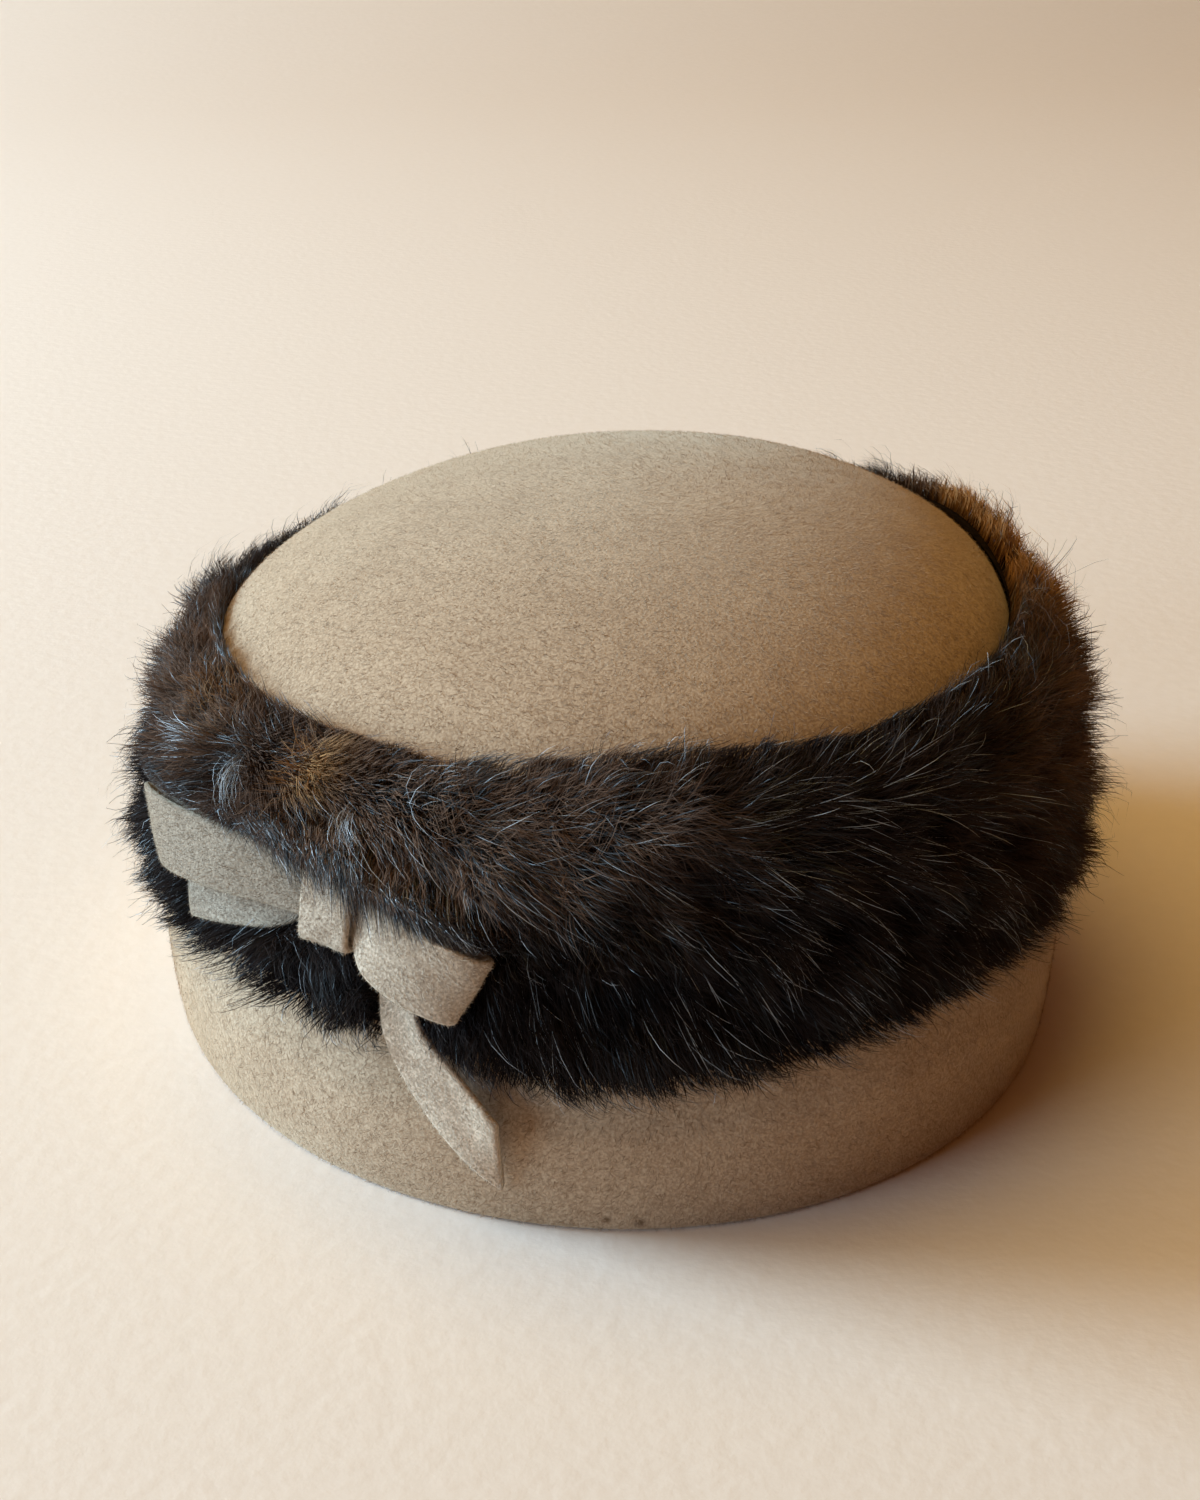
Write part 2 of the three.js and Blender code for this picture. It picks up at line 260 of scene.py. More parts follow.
def felt_material(name, tones, clouds_scale):
    """Velour felt: soft clouds of tone, grain and the painted shade of nicks along the rim."""
    material, nodes, links, shader = new_material(name)
    clouds = noise(nodes, links, clouds_scale, 6)
    cloud_tone = colour_ramp(nodes, [(0.30, tones["middle"]), (0.72, tones["light"])])
    links.new(clouds.outputs["Fac"], cloud_tone.inputs["Fac"])
    grain = noise(nodes, links, FELT_GRAIN, 1.5)
    grain_stops = [(0.36, tones["dark"]), (0.50, tones["middle"]), (0.64, tones["light"])]
    grain_tone = colour_ramp(nodes, grain_stops)
    links.new(grain.outputs["Fac"], grain_tone.inputs["Fac"])
    tone = mixed(nodes, links, "MIX", 0.5, cloud_tone.outputs["Color"], grain_tone.outputs["Color"])
    # Each nick's dark spot is painted shade, multiplied into the felt's colour.
    for nick in PAINTED_NICK_SHADES:
        tone = mixed(nodes, links, "MULTIPLY", 1.0, tone, painted_nick_shade(nodes, links, *nick))
    links.new(tone, shader.inputs["Base Color"])
    roughen(nodes, links, grain, shader, strength=0.35, distance=0.0003)
    velvet(shader)
    return material


def painted_nick_shade(nodes, links, azimuth, height, size):
    """Painted shade of a nick: dark within a small ragged spot on the wall, white elsewhere."""
    place = nodes.new("ShaderNodeTexCoord")
    spot = nodes.new("ShaderNodeVectorMath")
    spot.operation = "DISTANCE"
    spot.inputs[1].default_value = wall_point(azimuth, height, 0) * MM
    links.new(place.outputs["Object"], spot.inputs[0])
    reach = nodes.new("ShaderNodeMapRange")
    reach.inputs["From Max"].default_value = 2 * size * MM
    links.new(spot.outputs["Value"], reach.inputs["Value"])
    painted_shading = colour_ramp(nodes, [(0.15, (0.38, 0.31, 0.25)), (0.55, (1, 1, 1))])
    links.new(reach.outputs["Result"], painted_shading.inputs["Fac"])
    return painted_shading.outputs["Color"]


def velvet(shader):
    shader.inputs["Roughness"].default_value = 0.95
    shader.inputs["Specular IOR Level"].default_value = 0.1
    shader.inputs["Sheen Weight"].default_value = 0.45
    shader.inputs["Sheen Roughness"].default_value = 0.45
    shader.inputs["Sheen Tint"].default_value = (1.0, 0.85, 0.62, 1)


def nap_material(name, tones):
    """The felt's single fibres, each with a tone of its own."""
    material, nodes, links, shader = new_material(name)
    tone = colour_ramp(nodes, [(0.0, tones["dark"]), (0.5, tones["middle"]), (1.0, tones["light"])])
    links.new(attribute(nodes, "tone"), tone.inputs["Fac"])
    links.new(tone.outputs["Color"], shader.inputs["Base Color"])
    velvet(shader)
    return material


def pelt_material():
    material, nodes, links, shader = new_material("fur_pelt")
    fuzz = noise(nodes, links, 700, 3)
    tone = colour_ramp(nodes, [(0.3, (0.006, 0.004, 0.003)), (0.8, (0.022, 0.013, 0.008))])
    links.new(fuzz.outputs["Fac"], tone.inputs["Fac"])
    links.new(tone.outputs["Color"], shader.inputs["Base Color"])
    shader.inputs["Roughness"].default_value = 1.0
    shader.inputs["Specular IOR Level"].default_value = 0.05
    return material


def hair_material(name, tones, roughness, specular):
    """Hair that is dark at its root, with each hair's own tone taken from a run of tones."""
    material, nodes, links, shader = new_material(name)
    tone = colour_ramp(nodes, tones)
    links.new(attribute(nodes, "tone"), tone.inputs["Fac"])
    run = colour_ramp(nodes, [(0.0, (0.2, 0.2, 0.2)), (0.9, (1, 1, 1))])
    links.new(attribute(nodes, "along"), run.inputs["Fac"])
    colour = mixed(nodes, links, "MULTIPLY", 1.0, tone.outputs["Color"], run.outputs["Color"])
    links.new(colour, shader.inputs["Base Color"])
    shader.inputs["Roughness"].default_value = roughness
    shader.inputs["Specular IOR Level"].default_value = specular
    return material


def floor_material():
    material, nodes, links, shader = new_material("pale_floor")
    grain = noise(nodes, links, 260, 5)
    tone = colour_ramp(nodes, [(0.3, (0.92, 0.79, 0.69)), (0.7, (0.94, 0.81, 0.71))])
    links.new(grain.outputs["Fac"], tone.inputs["Fac"])
    links.new(tone.outputs["Color"], shader.inputs["Base Color"])
    roughen(nodes, links, grain, shader, strength=0.12, distance=0.001)
    shader.inputs["Roughness"].default_value = 0.85
    return material


# The felt body

def dome_outline(steps):
    """Reach and height from the top of the dome down to the wall."""
    rise = (CROWN_HEIGHT - WALL_TOP_HEIGHT) * DOME_FULLNESS
    centre = CROWN_HEIGHT - rise
    end = math.asin((WALL_TOP_HEIGHT - centre) / rise)
    angle = np.linspace(math.pi / 2, end, steps + 1)
    reach = WALL_TOP_REACH / math.cos(end) * np.cos(angle)
    return np.stack([reach, centre + rise * np.sin(angle)], 1)


def felt_profile():
    """Reach and height from the top of the dome down the outside, round the rim and up the inside."""
    dome = dome_outline(36)[1:]
    wall = np.linspace(WALL_TOP_HEIGHT, RIM_ROUND, 36)[1:]
    outside = np.vstack([dome, np.stack([wall_reach(wall), wall], 1)])
    along = unit(np.gradient(outside, axis=0))
    inside = outside + FELT * np.stack([along[:, 1], -along[:, 0]], 1)
    edge = outside[-1, 0]
    turn = np.radians(np.array([30, 60, 90]))
    rim = np.stack([edge - RIM_ROUND * (1 - np.cos(turn)), RIM_ROUND * (1 - np.sin(turn))], 1)
    lip = np.array([[inside[-1, 0], 0.0]])
    return np.vstack([outside, rim, lip, inside[::-1][1:]])


def felt_points(reach, azimuth, height):
    """Points of the felt, with the slight unevenness of hand blocking."""
    angle = np.radians(azimuth)
    swell = 0.45 * np.sin(2 * angle + 0.6 + height / 24) + 0.3 * np.sin(3 * angle - height / 17 + 2.1)
    swell += 0.16 * np.sin(7 * angle + height / 11)
    fade = np.clip(height / 10, 0, 1) * np.clip(reach / 40, 0, 1)
    grown = reach + swell * fade
    return shaped(grown * np.cos(angle), grown * np.sin(angle), height)


def felt_body(material):
    profile = felt_profile()
    azimuth = np.arange(FELT_SIDES) * 360 / FELT_SIDES
    points = felt_points(profile[:, :1], azimuth[None], np.repeat(profile[:, 1:], FELT_SIDES, 1))
    points = points.reshape(-1, 3)
    triangles = grid_triangles(len(profile), FELT_SIDES, False, True)[:, ::-1]
    ends = [shaped(0.0, 0.0, height) for height in (CROWN_HEIGHT, CROWN_HEIGHT - FELT)]
    top, under = len(points), len(points) + 1
    ring = np.arange(FELT_SIDES)
    after = (ring + 1) % FELT_SIDES
    last = (len(profile) - 1) * FELT_SIDES
    caps = [np.stack([np.full(FELT_SIDES, top), ring, after], 1)]
    caps.append(np.stack([np.full(FELT_SIDES, under), last + after, last + ring], 1))
    body = mesh_piece("felt_crown", np.vstack([points, ends]), np.vstack([triangles, *caps]), material)
    return on_hat(body, "felt", "felt_body")


def blades(roots, directions, sides, lengths, widths):
    """One tapered blade for each fibre, as points and triangles."""
    half = sides * widths[:, None] / 2
    points = np.stack([roots - half, roots + half, roots + directions * lengths[:, None]], 1)
    return points.reshape(-1, 3), np.arange(len(roots) * 3).reshape(-1, 3)


# Fibres of the felt's nap and of the bow's: least and greatest length, lift from the felt and width.
FELT_NAP_LENGTH, FELT_NAP_LIFT, FELT_NAP_WIDTH = (0.8, 1.7), (0.08, 0.42), (0.08, 0.14)
BOW_NAP_LENGTH, BOW_NAP_LIFT, BOW_NAP_WIDTH = (0.4, 1.0), (0.2, 0.9), (0.08, 0.15)
NAP_ON_DOME = 0.52
NAP_WALL_TOP, NAP_WALL_FOOT = 40, 0.6


def felt_nap(material, count, seed):
    """Short fibres over the felt that shows: the dome and the wall below the fur."""
    random = np.random.default_rng(seed)
    dome = dome_outline(300)
    wall_heights = np.linspace(NAP_WALL_TOP, NAP_WALL_FOOT, 200)
    wall = np.stack([wall_reach(wall_heights), wall_heights], 1)
    azimuth = random.uniform(0, 360, count)
    pick = random.random(count)
    rows = []
    for line, share in ((dome, pick < NAP_ON_DOME), (wall, pick >= NAP_ON_DOME)):
        step = np.linalg.norm(np.diff(line, axis=0), axis=1)
        area = np.concatenate([[0], np.cumsum(step * (line[1:, 0] + line[:-1, 0]))])
        place = np.interp(random.random(share.sum()) * area[-1], area, np.arange(len(line)))
        rows.append((share, line, place))
    roots, normal, down = np.zeros((3, count, 3))
    for share, line, place in rows:
        def at(offset, turn):
            index = np.clip(place + offset, 0, len(line) - 1)
            reach = np.interp(index, np.arange(len(line)), line[:, 0])
            height = np.interp(index, np.arange(len(line)), line[:, 1])
            return felt_points(reach, azimuth[share] + turn, height)
        roots[share] = at(0, 0)
        down[share] = unit(at(0.4, 0) - at(-0.4, 0))
        normal[share] = unit(np.cross(at(0, 0.5) - at(0, -0.5), -down[share]))
    across = np.cross(normal, down)
    swirl = 0.9 * np.sin(roots[:, 0] / 19) + 0.7 * np.sin(roots[:, 1] / 23 + 1)
    swirl += random.normal(0, 0.75, count)
    lay = down * np.cos(swirl)[:, None] + across * np.sin(swirl)[:, None]
    lift = random.uniform(*FELT_NAP_LIFT, count)[:, None]
    direction = unit(lay + normal * lift)
    lengths = random.uniform(*FELT_NAP_LENGTH, count)
    direction[:, 2] = np.maximum(direction[:, 2], -roots[:, 2] / lengths)
    side = unit(np.cross(direction, normal))
    points, triangles = blades(roots, direction, side, lengths, random.uniform(*FELT_NAP_WIDTH, count))
    tone = np.repeat(np.clip(random.normal(0.55, 0.42, count), 0, 1), 3)
    nap = mesh_piece("felt_nap", points, triangles, material, False, {"tone": tone})
    return on_hat(nap, "felt")


# The bow

# Each row of a strip's middle line: azimuth, height, standoff from the wall, width, slope and skew.
BOW_STRIPS = {
    "bow_loop_left": [
        (-131.0, 59.0, 10.2, 7.6, 4, 0),
        (-134.4, 59.6, 11.0, 8.6, 5, 0),
        (-139.5, 60.2, 11.8, 10.4, 5, 0),
        (-148.0, 58.8, 12.6, 11.6, 8, -4),
        (-157.8, 56.0, 13.0, 11.8, 10, -12),
        (-161.6, 54.3, 11.8, 11.8, 10, -15),
        (-157.8, 54.9, 10.4, 11.8, 10, -12),
        (-148.0, 57.5, 9.8, 11.6, 8, -4),
        (-139.5, 59.2, 9.2, 10.2, 5, 0),
        (-134.4, 59.2, 8.6, 8.4, 5, 0),
        (-131.0, 59.0, 8.2, 7.6, 4, 0),
    ],
    "bow_loop_right": [
        (-129.6, 58.8, 10.2, 7.4, -8, 0),
        (-127.0, 57.8, 10.5, 7.4, -10, 0),
        (-124.0, 55.4, 12.4, 11.6, -16, 1),
        (-119.2, 52.9, 13.4, 13.2, -20, 2),
        (-115.4, 50.6, 12.6, 12.8, -20, 2),
        (-114.0, 49.6, 10.8, 12.8, -20, 2),
        (-116.0, 50.2, 9.0, 12.6, -20, 2),
        (-123.4, 54.9, 8.6, 10.2, -16, 1),
        (-127.0, 57.6, 8.4, 7.4, -10, 0),
        (-129.6, 58.8, 8.2, 7.4, -8, 0),
    ],
    "bow_tail_short": [
        (-131.0, 59.2, 6.2, 7.2, 12, 0),
        (-134.6, 57.8, 6.2, 8.0, 14, 0),
        (-139.5, 53.9, 6.4, 11.2, 15, 0),
        (-147.0, 50.0, 6.6, 12.0, 15, -1),
        (-156.3, 45.1, 6.6, 12.0, 15, -3.5),
    ],
    "bow_tail_long": [
        (-129.8, 59.6, 6.2, 7.2, -6, 0),
        (-126.4, 58.6, 6.2, 7.2, -20, 0),
        (-123.6, 53.5, 6.3, 8.0, -60, 0),
        (-123.0, 46.0, 6.4, 8.0, -70, 0),
        (-122.0, 38.0, 6.3, 8.4, -58, 0),
        (-117.6, 28.2, 5.2, 11.4, -47, -1),
        (-111.5, 17.6, 3.6, 12.5, -46, -11.6),
    ],
    "bow_knot": [
        (-130.2, 64.8, 5.4, 10.4, -90, 0),
        (-130.2, 65.8, 9.4, 10.4, -90, 0),
        (-130.2, 64.6, 12.0, 10.4, -90, 0),
        (-130.2, 59.2, 12.7, 10.4, -90, 0),
        (-130.2, 53.6, 12.2, 10.4, -90, 0),
        (-130.2, 52.2, 9.4, 10.4, -90, 0),
        (-130.2, 53.0, 5.4, 10.4, -90, 0),
    ],
}

# How light each strip is: lit and shaded copies of one felt, painted light and shade on each strip.
BOW_PAINTED_LIGHT = {
    "bow_loop_left": 0.66,
    "bow_loop_right": 1.25,
    "bow_tail_short": 0.80,
    "bow_tail_long": 1.50,
    "bow_knot": 1.15,
}


def painted_light_tones(tones, painted_shading):
    """The same tones, made lighter or darker: painted light or shade."""
    return {key: tuple(part * painted_shading for part in colour) for key, colour in tones.items()}


def strip_section(width):
    """A flat section with rounded long edges, as offsets across the strip and out of its face."""
    turn = np.radians(np.linspace(-90, 90, 7))
    edge = np.stack([np.cos(turn), np.sin(turn)], 1) * STRIP / 2
    flat = np.linspace(1, -1, 7)[1:-1]
    right = edge + [width / 2 - STRIP / 2, 0]
    left = -edge - [width / 2 - STRIP / 2, 0]
    upper = np.stack([flat * (width / 2 - STRIP / 2), np.full(5, STRIP / 2)], 1)
    return np.vstack([right, upper, left, -upper])


def strip_points(rows, twist):
    """Rings of points along a strip that twists by so many degrees, and its middle line's length."""
    line = smooth_rows(rows, STRIP_STEPS)
    azimuth, height, standoff, width, slope, skew = line.T
    middle = wall_point(azimuth, height, standoff)
    along, up, _ = wall_axes(azimuth, height, standoff)
    angle = np.radians(slope)[:, None]
    ahead = along * np.cos(angle) + up * np.sin(angle)
    across = up * np.cos(angle) - along * np.sin(angle)
    face = unit(np.cross(unit(np.gradient(middle, axis=0)), across))
    roll = (math.radians(twist) * np.linspace(0, 1, len(line)) ** 2)[:, None]
    span = across * np.cos(roll) + face * np.sin(roll)
    front = face * np.cos(roll) - across * np.sin(roll)
    rings = []
    for i in range(len(line)):
        offset = strip_section(width[i])
        slant = span[i] + ahead[i] * skew[i] / width[i]
        ripple = 0.12 * np.sin(offset[:, :1] * 0.7 + i * 0.35)
        rings.append(middle[i] + offset[:, :1] * slant + (offset[:, 1:] + ripple) * front[i])
    length = np.linalg.norm(np.diff(middle, axis=0), axis=1).sum()
    return np.array(rings), length


def bow_strip(name, rows):
    # Each strip's felt is the bow's tones with that strip's painted light or shade.
    material = felt_material(name, painted_light_tones(BOW_TONES, BOW_PAINTED_LIGHT[name]), BOW_CLOUDS)
    rings, length = strip_points(rows, TAIL_TWIST if name == "bow_tail_long" else 0)
    count, corners = rings.shape[:2]
    triangles = [grid_triangles(count, corners, False, True)]
    for ring, turn in ((0, 1), (count - 1, -1)):
        fan = np.arange(1, corners - 1)
        cap = np.stack([np.zeros_like(fan), fan + 1, fan], 1)[:, ::turn] + ring * corners
        triangles.append(cap)
    strip = mesh_piece("felt_" + name, rings.reshape(-1, 3), np.vstack(triangles), material)
    on_hat(strip, "bow_felt", name)
    return rings


def bow_nap(all_rings, material, count, seed):
    """Short fibres over every face and cut edge of the bow, toned with each strip's painted light or shade.
    """
    random = np.random.default_rng(seed)
    whole_area = sum(strip_faces(rings)[-1].sum() for rings in all_rings)
    roots, normals, flows, painted_shadings = [], [], [], []
    for rings, painted_shading in zip(all_rings, BOW_PAINTED_LIGHT.values()):
        triangles, corner, first, second, area = strip_faces(rings)
        number = int(count * area.sum() / whole_area)
        pick = random.choice(len(triangles), number, p=area / area.sum())
        u, v = random.random((2, number, 1))
        u, v = np.where(u + v > 1, 1 - u, u), np.where(u + v > 1, 1 - v, v)
        roots.append(corner[pick] + first[pick] * u + second[pick] * v)
        normals.append(unit(np.cross(first, second))[pick])
        painted_shadings.append(np.full(number, painted_shading))
        flow = (rings[1:] - rings[:-1]).reshape(-1, 3)
        flows.append(unit(flow[triangles[pick, 0] % len(flow)]))
    roots, normals, flows = (np.vstack(x) for x in (roots, normals, flows))
    spread = random.normal(0, 0.9, len(roots))[:, None]
    lay = flows * np.cos(spread) + np.cross(normals, flows) * np.sin(spread)
    direction = unit(lay + normals * random.uniform(*BOW_NAP_LIFT, (len(roots), 1)))
    side = unit(np.cross(direction, normals))
    lengths = random.uniform(*BOW_NAP_LENGTH, len(roots))
    points, triangles = blades(roots, direction, side, lengths, random.uniform(*BOW_NAP_WIDTH, len(roots)))
    # Each strip's painted light or shade moves its fibres' tones.
    painted_lightness = 0.58 + 0.85 * (np.concatenate(painted_shadings) - 1)
    tone = np.repeat(np.clip(random.normal(painted_lightness, 0.32), 0, 1), 3)
    nap = mesh_piece("bow_nap", points, triangles, material, False, {"tone": tone})
    return on_hat(nap, "bow_felt")


def strip_faces(rings):
    """Triangles along a strip, each one's first corner and the two edges from it, and twice its area."""
    triangles = grid_triangles(*rings.shape[:2], False, True)
    a, b, c = (rings.reshape(-1, 3)[triangles[:, k]] for k in range(3))
    return triangles, a, b - a, c - a, np.linalg.norm(np.cross(b - a, c - a), axis=1)


# The fur band

# The fur's section, from hair that hangs below the band, up the outside, over the crest and towards the
# dome: height up the wall and standoff from it. The pelt runs from the third row to the last but one.
FUR_SECTION = [
    (22.0, 1.4),
    (29.0, 1.8),
    (36.0, 2.6),
    (42.0, 4.4),
    (52.0, 6.0),
    (64.0, 6.4),
    (70.5, 6.2),
    (74.8, 4.8),
    (76.8, 2.4),
    (77.6, -0.6),
    (80.3, -2.2),
]
SECTION_STEPS = 200
STEPS_PER_ROW = SECTION_STEPS // (len(FUR_SECTION) - 1)
SECTION_FINE = smooth_rows(FUR_SECTION, SECTION_STEPS)
SECTION_REACH = wall_reach(SECTION_FINE[:, 0]) + SECTION_FINE[:, 1]
SECTION_STEP = np.hypot(np.diff(SECTION_REACH), np.diff(SECTION_FINE[:, 0]))
SECTION_RUN = np.concatenate([[0], np.cumsum(SECTION_STEP)])
PELT_START = SECTION_RUN[STEPS_PER_ROW * 2]
PELT_WIDTH = SECTION_RUN[-1 - STEPS_PER_ROW] - PELT_START
PELT_DEPTH = 0.5
PELT_GAP = 0.5

# Where the fur departs from that section: millimetres, the azimuth of the middle and the degrees to each
# side. The crest sags at the back and rises at the front and right. The lower edge dips at the front.
BACK_SAG = (5.5, 116, 54)
FRONT_CREST = (2.8, -95, 16)
RIGHT_CREST = (4.0, 12, 22)
FRONT_DIP = (4.5, -98, 17)
RIGHT_FULLNESS = (2.5, 0, 35)
FRONT_GROOVE = (2.6, -104, 13)
TUCK = 1.8

# The heights that those act on: from none to all of the crest, from all to none of the foot, and the
# middle and reach up and down of the fullness and of the groove.
CREST_FROM, CREST_TO = 56, 76
FOOT_FROM, FOOT_TO = 36, 54
FULLNESS_HEIGHT, FULLNESS_REACH = 67, 9
GROOVE_HEIGHT, GROOVE_REACH = 48, 3.5

# Hollows in the hair: azimuth, degrees to each side, place up the pelt and millimetres to each side.
LOW_BESIDE_BOW = (-105, 12, 12.5, 3)
SHORT_BESIDE_BOW = (-105, 12, 19, 5)
LOW_ABOVE_LOOP = (-150.5, 4, 35.5, 4)
# Painted shade in the hollow above the loop, darkening the underfur there.
PAINTED_SHADE_ABOVE_LOOP = (-150.5, 5, 35.5, 5)

FAR_OFF = 99.0


def bow_depth(azimuth, height):
    """Millimetres inside the bow's nearest long edge, or below 0 outside, and its front and back there."""
    depth = np.full(azimuth.shape, -FAR_OFF)
    front = np.zeros(azimuth.shape)
    back = np.full(azimuth.shape, FAR_OFF)
    for rows in BOW_STRIPS.values():
        line = smooth_rows(rows, 30)
        scale = mm_per_degree(line[:, 0]) * (1 + line[:, 2] / BAND_REACH)
        step = np.hypot(np.diff(line[:, 0]) * scale[1:], np.diff(line[:, 1])).max()
        for (a, h, standoff, width, slope, skew), size in zip(line, scale):
            angle = math.radians(slope)
            dx, dy = (azimuth - a) * size, height - h
            across = dy * math.cos(angle) - dx * math.sin(angle)
            ahead = dx * math.cos(angle) + dy * math.sin(angle) - skew * across / width
            inside = np.where(np.abs(ahead) < 0.5 * step + 0.6, width / 2 - np.abs(across), -FAR_OFF)
            depth = np.maximum(depth, inside)
            front = np.where(inside > -7, np.maximum(front, standoff + STRIP / 2), front)
            back = np.where(inside > -0.8, np.minimum(back, standoff - STRIP / 2), back)
    return depth, front, back


def swelling(azimuth, amount, middle, degrees):
    """Millimetres at each azimuth: the full amount in the middle, and none well away from it."""
    return amount * bump(wrapped(azimuth - middle), 0, degrees)


def fur_section(azimuth, place):
    """Height and standoff of the fur's face, uneven round the hat and pressed in under the bow."""
    height = np.interp(place, SECTION_RUN, SECTION_FINE[:, 0])
    standoff = np.interp(place, SECTION_RUN, SECTION_FINE[:, 1])
    crest = swelling(azimuth, *RIGHT_CREST) + swelling(azimuth, *FRONT_CREST)
    height = height + (crest - swelling(azimuth, *BACK_SAG)) * ease(height, CREST_FROM, CREST_TO)
    height = height - swelling(azimuth, *FRONT_DIP) * (1 - ease(height, FOOT_FROM, FOOT_TO))
    standoff = standoff + swelling(azimuth, *RIGHT_FULLNESS) * bump(height, FULLNESS_HEIGHT, FULLNESS_REACH)
    standoff = standoff - swelling(azimuth, *FRONT_GROOVE) * bump(height, GROOVE_HEIGHT, GROOVE_REACH)
    near = (azimuth > BOW_FROM) & (azimuth < BOW_TO)
    if near.any():
        depth, _, _ = bow_depth(azimuth[near], height[near])
        standoff[near] -= TUCK * ease(depth, -1.5, 0.5)
    return height, standoff


def fur_point(azimuth, run, extra):
    """Points over the pelt, from azimuth, millimetres up it and height over its face."""
    place = np.clip(run + PELT_START, 0, SECTION_RUN[-1])
    height, standoff = fur_section(azimuth, place)
    base = wall_point(azimuth, height, standoff)
    return base + fur_out(azimuth, place) * extra[..., None]


def fur_out(azimuth, place):
    """Unit vectors out of the fur's plain face."""
    def at(spot, turn):
        height = np.interp(spot, SECTION_RUN, SECTION_FINE[:, 0])
        return wall_point(azimuth + turn, height, np.interp(spot, SECTION_RUN, SECTION_FINE[:, 1]))
    rise = at(np.minimum(place + 0.8, SECTION_RUN[-1]), 0) - at(np.maximum(place - 0.8, 0), 0)
    return unit(np.cross(at(place, 0.3) - at(place, -0.3), rise))


def mm_per_degree(azimuth):
    """Millimetres round the band for each degree of azimuth."""
    angle = np.radians(azimuth)
    return np.radians(1) * BAND_REACH * np.hypot(np.sin(angle), DEPTH_RATIO * np.cos(angle))


def nap_along(turn):
    """How far the nap runs round the hat: forwards from the seam, and backwards just behind it."""
    return 1 - NAP_TURN_CHANGE * ease(turn, NAP_TURN_FROM, NAP_TURN_TO)


# How the hair slopes: share of the way up the pelt, and degrees above the horizontal.
NAP_SLOPES = np.array([
    (0.00, -60),
    (0.28, -52),
    (0.50, -38),
    (0.72, -16),
    (0.88, 12),
    (1.00, 30),
])


def nap_slope(azimuth, share):
    """Degrees above the horizontal that the hair points, with hair above the bow combed down over it."""
    plain = np.interp(share, NAP_SLOPES[:, 0], NAP_SLOPES[:, 1])
    over_bow = bump(azimuth, -129, 13) * bump(share, 0.66, 0.17)
    return plain - 55 * over_bow


def tufts(azimuth, run):
    """High and low places in the fur, about a centimetre across, from -1 to 1."""
    angle = np.radians(azimuth)
    waves = np.sin(41 * angle + 1.6 * np.sin(run / 4))
    waves = waves + np.sin(23 * angle - run / 2.1 + 1.4 * np.sin(17 * angle))
    return (waves + np.sin(run / 2.4 + 2.2 * np.sin(13 * angle + 1))) / 3


def fur_pelt(material):
    """The closed ring of skin and short hair that the longer hair grows from."""
    columns, rows = 180, 32
    azimuth = np.arange(columns) * 360 / columns - 180
    run = np.linspace(0, PELT_WIDTH, rows)
    grid_azimuth, grid_run = np.meshgrid(azimuth, run)
    outer = fur_point(grid_azimuth, grid_run, np.full(grid_run.shape, -PELT_DEPTH))
    height, _ = fur_section(grid_azimuth, grid_run + PELT_START)
    height = height[::-1]
    inner = wall_point(grid_azimuth, height, PELT_GAP + felt_reach(height) - wall_reach(height))
    points = np.vstack([outer.reshape(-1, 3), inner.reshape(-1, 3)])
    triangles = grid_triangles(2 * rows, columns, True, True)
    return on_hat(mesh_piece("fur_pelt", points, triangles, material), "fur", "fur_band")


def felt_reach(height):
    """Half-width along X of the felt's outer face: the wall and, above it, the dome."""
    dome = dome_outline(60)[::-1]
    on_dome = np.interp(height, dome[:, 1], dome[:, 0])
    return np.where(height > WALL_TOP_HEIGHT, on_dome, wall_reach(height))


def tuft_height(azimuth, run):
    """Share of its full height that hair stands to: even along both edges, and low in the hollows."""
    share = run / PELT_WIDTH
    unevenness = 0.85 * (1 - 0.6 * ease(share, 0.75, 0.95)) * (0.35 + 0.65 * ease(share, 0.02, 0.25))
    low = np.maximum(hollow(azimuth, run, *LOW_BESIDE_BOW), hollow(azimuth, run, *LOW_ABOVE_LOOP))
    return (1 + unevenness * tufts(azimuth, run)) * (1 - 0.75 * low)


def hollow(azimuth, run, middle, degrees, place, width):
    """From 0 to 1 in an oval place on the band."""
    return bump(wrapped(azimuth - middle), 0, degrees) * bump(run, place, width)


# Parts of the band: degrees round from the seam, and shares of the way up the pelt.
WHOLE_BAND = (0, 360, -0.02, 1.02)
ABOVE_BOW = (-9, 24, 0.49, 0.88)
FRONT = (6, 85, 0.0, 0.9)
BY_SEAM = (-7, 6, 0.66, 0.98)
FRONT_EDGE = (10, 150, 0.86, 1.0)


class HairKind(NamedTuple):
    """A kind of hair, in millimetres: its travel along the pelt, the size of a clump, the share by which a
    clump's tips draw together, its lift over the pelt, its unruliness in degrees, the points along a hair
    and its width.
    """
    travel: float
    clump: float
    gather: float
    lift: float
    wild: float
    steps: int
    width: float


